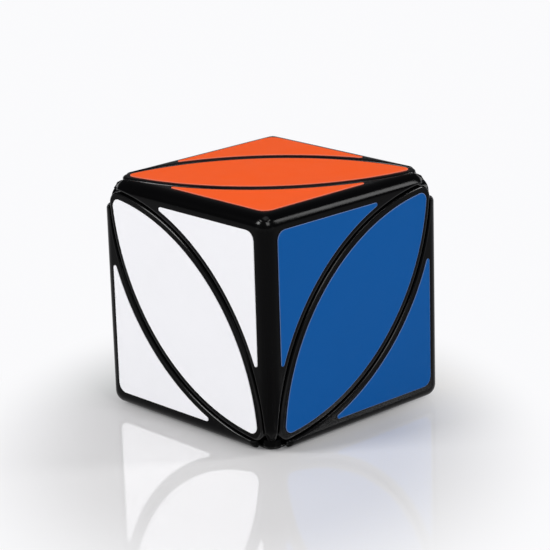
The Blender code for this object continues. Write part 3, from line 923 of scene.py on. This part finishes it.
def lamps():
    """Rectangular area lamps that look at the cube's centre: three soft boxes and three strips."""
    for name, (place, size, power) in LAMPS.items():
        data = bpy.data.lights.new(name, "AREA")
        data.shape = "RECTANGLE"
        data.size, data.size_y = size
        data.energy = power
        obj = bpy.data.objects.new(name, data)
        obj.location = Vector(CENTRE) + Vector(place)
        obj.rotation_euler = (-Vector(place)).to_track_quat("-Z", "Y").to_euler()
        bpy.context.scene.collection.objects.link(obj)


def camera():
    """The photograph's camera: turned, lifted and leant round the cube's centre, with its frame shifted."""
    view = stage()
    data = bpy.data.cameras.new("photo_camera")
    data.sensor_width = SENSOR_MM
    data.lens = SENSOR_MM * view.focal / PHOTO_SIDE
    data.shift_x = -view.off_right / PHOTO_SIDE
    data.shift_y = view.off_down / PHOTO_SIDE
    data.clip_start = NEAR_CLIP
    outward = Vector((
        math.sin(view.azimuth) * math.cos(view.elevation),
        -math.cos(view.azimuth) * math.cos(view.elevation),
        math.sin(view.elevation),
    ))
    obj = bpy.data.objects.new("photo_camera", data)
    turn = outward.to_track_quat("Z", "Y").to_matrix() @ Matrix.Rotation(view.roll, 3, "Z")
    obj.matrix_world = Matrix.Translation(Vector(CENTRE) + outward * view.distance) @ turn.to_4x4()
    bpy.context.scene.collection.objects.link(obj)
    bpy.context.scene.camera = obj


# Operators


class LEAFCUBE_OT_corners(bpy.types.Operator):
    """Builds the four corner shells with their arms, round edges and ball-shaped cuts"""

    bl_idname = "leafcube.corners"
    bl_label = "Corner shells"

    def execute(self, context):
        for name, signs in CORNERS.items():
            patch, marks = corner_patch(hoof=name == LONG_ARMED)
            patches = [patch[..., list(order)] * np.array(signs) for order in permutations(range(3))]
            piece(name, f"{name}_shell", patches, marks, gloss_black())
        return {"FINISHED"}


class LEAFCUBE_OT_petals(bpy.types.Operator):
    """Builds the six leaf-shaped petals with round rims and tips"""

    bl_idname = "leafcube.petals"
    bl_label = "Petal shells"

    def execute(self, context):
        patch, marks = petal_patch()
        for face, turn in PETAL_TURNS.items():
            patches = [quarter @ turn.T for quarter in leaf_quarters(patch)]
            name = f"petal_{face}"
            piece(name, f"{name}_shell", patches, marks, gloss_black())
        return {"FINISHED"}


class LEAFCUBE_OT_petal_stickers(bpy.types.Operator):
    """Builds the six leaf-shaped stickers"""

    bl_idname = "leafcube.petal_stickers"
    bl_label = "Petal stickers"

    def execute(self, context):
        patch, marks = petal_sticker_patch()
        for face, turn in PETAL_TURNS.items():
            patches = [quarter @ turn.T for quarter in leaf_quarters(patch)]
            name = f"petal_{face}"
            piece(name, f"{name}_sticker", patches, marks, vinyl(face))
        return {"FINISHED"}


class LEAFCUBE_OT_corner_stickers(bpy.types.Operator):
    """Builds the twelve hollow-sided stickers of the corners"""

    bl_idname = "leafcube.corner_stickers"
    bl_label = "Corner stickers"

    def execute(self, context):
        grid, marks = corner_sticker_grid()
        for name, signs in CORNERS.items():
            for face, normal in FACES.items():
                if np.dot(signs, normal) < 0:
                    continue
                order = FACE_ORDERS[int(np.argmax(np.abs(normal)))]
                patch = grid[..., order] * np.array(signs)
                piece(name, f"{name}_sticker_{face}", [patch], marks, vinyl(face))
        return {"FINISHED"}


class LEAFCUBE_OT_mechanism(bpy.types.Operator):
    """Gives the core, spindles, feet, screws, washers and springs their finishes"""

    bl_idname = "leafcube.mechanism"
    bl_label = "Mechanism"

    def execute(self, context):
        tints = colours()
        inner = finish_of("inner_black", tints.inner, rough=(0.32, 0.46), bump=0.15, vary=0.12)
        nylon = finish_of("core_nylon", tints.core, rough=(0.40, 0.52), bump=0.15, vary=0.03)
        steel = finish_of("zinc_steel", tints.steel, rough=(0.22, 0.36), bump=0.12, vary=0.08)
        steel.node_tree.nodes["Principled BSDF"].inputs["Metallic"].default_value = 1.0
        finishes = {
            "core": nylon,
            "spindle": inner,
            "foot": inner,
            "screw": steel,
            "washer": steel,
            "spring": steel,
        }
        for name, obj in frame["nodes"].items():
            finish = finishes.get(name.rsplit("_", 1)[-1])
            if finish:
                obj.data.materials.clear()
                obj.data.materials.append(finish)
        return {"FINISHED"}


class LEAFCUBE_OT_stage(bpy.types.Operator):
    """Sets the pale floor and backdrop, the soft lamps and the camera"""

    bl_idname = "leafcube.stage"
    bl_label = "Stage"

    def execute(self, context):
        context.scene.view_settings.view_transform = "Standard"
        floor_and_cove()
        world()
        lamps()
        camera()
        return {"FINISHED"}


class LEAFCUBE_PT_panel(bpy.types.Panel):
    """Lists the steps and their values in the sidebar"""

    bl_idname = "LEAFCUBE_PT_panel"
    bl_label = "Leaf Cube"
    bl_space_type = "VIEW_3D"
    bl_region_type = "UI"
    bl_category = "Leaf Cube"

    def draw(self, context):
        for operator in OPERATORS:
            self.layout.operator(operator.bl_idname)
        for name, group in GROUPS.items():
            column = self.layout.column()
            for value in group.__annotations__:
                column.prop(getattr(context.scene, name), value)


OPERATORS = (
    LEAFCUBE_OT_corners,
    LEAFCUBE_OT_petals,
    LEAFCUBE_OT_petal_stickers,
    LEAFCUBE_OT_corner_stickers,
    LEAFCUBE_OT_mechanism,
    LEAFCUBE_OT_stage,
)
GROUPS = {
    "leaf_cube_sizes": LeafCubeSizes,
    "leaf_cube_colours": LeafCubeColours,
    "leaf_cube_stage": LeafCubeStage,
}
CLASSES = (*GROUPS.values(), *OPERATORS, LEAFCUBE_PT_panel)


def register():
    """Registers the classes and hangs the properties on the scene."""
    for cls in CLASSES:
        bpy.utils.register_class(cls)
    for name, group in GROUPS.items():
        setattr(bpy.types.Scene, name, PointerProperty(type=group))


def unregister():
    """Takes the properties and the classes away again."""
    for name in GROUPS:
        delattr(bpy.types.Scene, name)
    for cls in reversed(CLASSES):
        bpy.utils.unregister_class(cls)


def main():
    """Builds every piece and the stage."""
    register()
    for operator in OPERATORS:
        prefix, name = operator.bl_idname.split(".")
        getattr(getattr(bpy.ops, prefix), name)()


if __name__ == "__main__":
    main()
